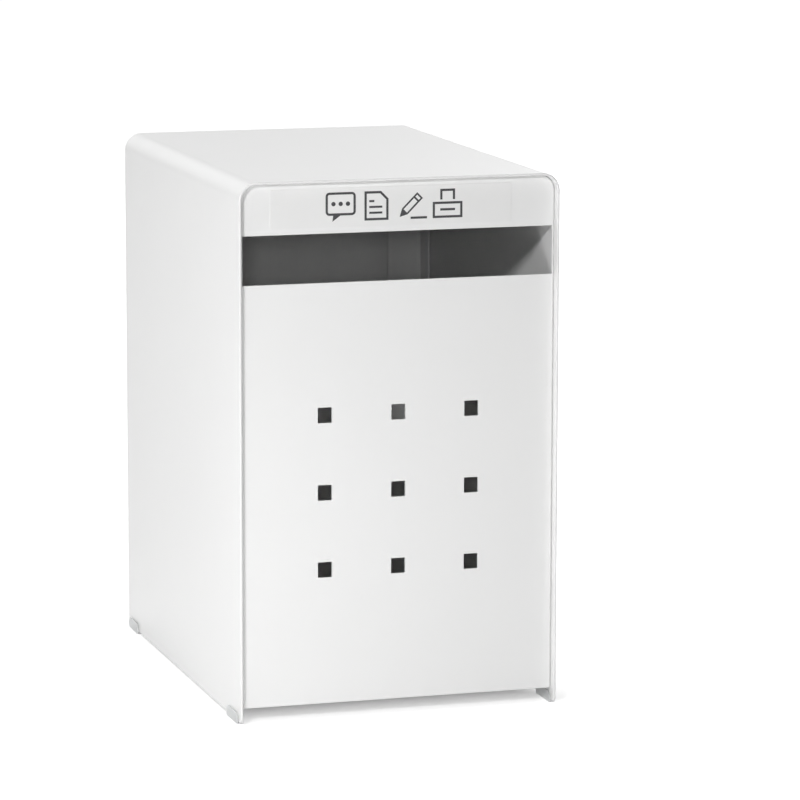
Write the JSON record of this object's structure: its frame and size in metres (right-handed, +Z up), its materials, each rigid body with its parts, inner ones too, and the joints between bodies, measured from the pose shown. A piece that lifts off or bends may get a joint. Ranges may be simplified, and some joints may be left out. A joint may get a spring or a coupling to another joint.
{
  "type": "suggestion box",
  "caption": "Small upright sheet steel box with a paper slot under a nameplate, small square windows in its front, and a lockable rear door.",
  "frame": {"origin": "middle of the box's outline on the surface that it stands on", "axes": "+X to the right of someone facing the front, +Y from the front to the rear, +Z up"},
  "size_m": [0.1366, 0.196, 0.2217],
  "materials": {
    "white_coat": "satin white powder coat",
    "label_film": "satin white film",
    "zinc_steel": "zinc plated",
    "lock_chrome": "polished",
    "clear_rubber": "clear, soft"
  },
  "bodies": {
    "cabinet": {"outer_shell": "white_coat", "label_sticker": "label_film", "front_panel": "white_coat", "base_tray": "white_coat", "base_rivet_left": "zinc_steel", "base_rivet_right": "zinc_steel", "rear_frame": "white_coat", "hinge_frame_leaf": "zinc_steel", "hinge_pin": "zinc_steel", "foot_front_left": "clear_rubber", "foot_front_right": "clear_rubber", "foot_rear_left": "clear_rubber", "foot_rear_right": "clear_rubber"},
    "door": {"rear_door": "white_coat", "hinge_door_leaf": "zinc_steel", "hinge_rivet_1": "zinc_steel", "hinge_rivet_2": "zinc_steel", "hinge_rivet_3": "zinc_steel", "hinge_rivet_4": "zinc_steel", "lock_body": "lock_chrome", "lock_nut": "zinc_steel"},
    "lock": {"lock_plug": "lock_chrome", "lock_cam": "zinc_steel", "cam_washer": "zinc_steel", "cam_screw": "zinc_steel"}
  },
  "joints": [
    {"name": "door_hinge", "type": "hinge", "parent": "cabinet", "child": "door", "pos_m": [0.064, 0.0956, 0.1131], "axis": [0, 0, -1], "range_deg": [0, 120]},
    {"name": "lock_turn", "type": "hinge", "parent": "door", "child": "lock", "pos_m": [-0.04, 0.0955, 0.1131], "axis": [0, -1, 0], "range_deg": [0, 90]}
  ]
}
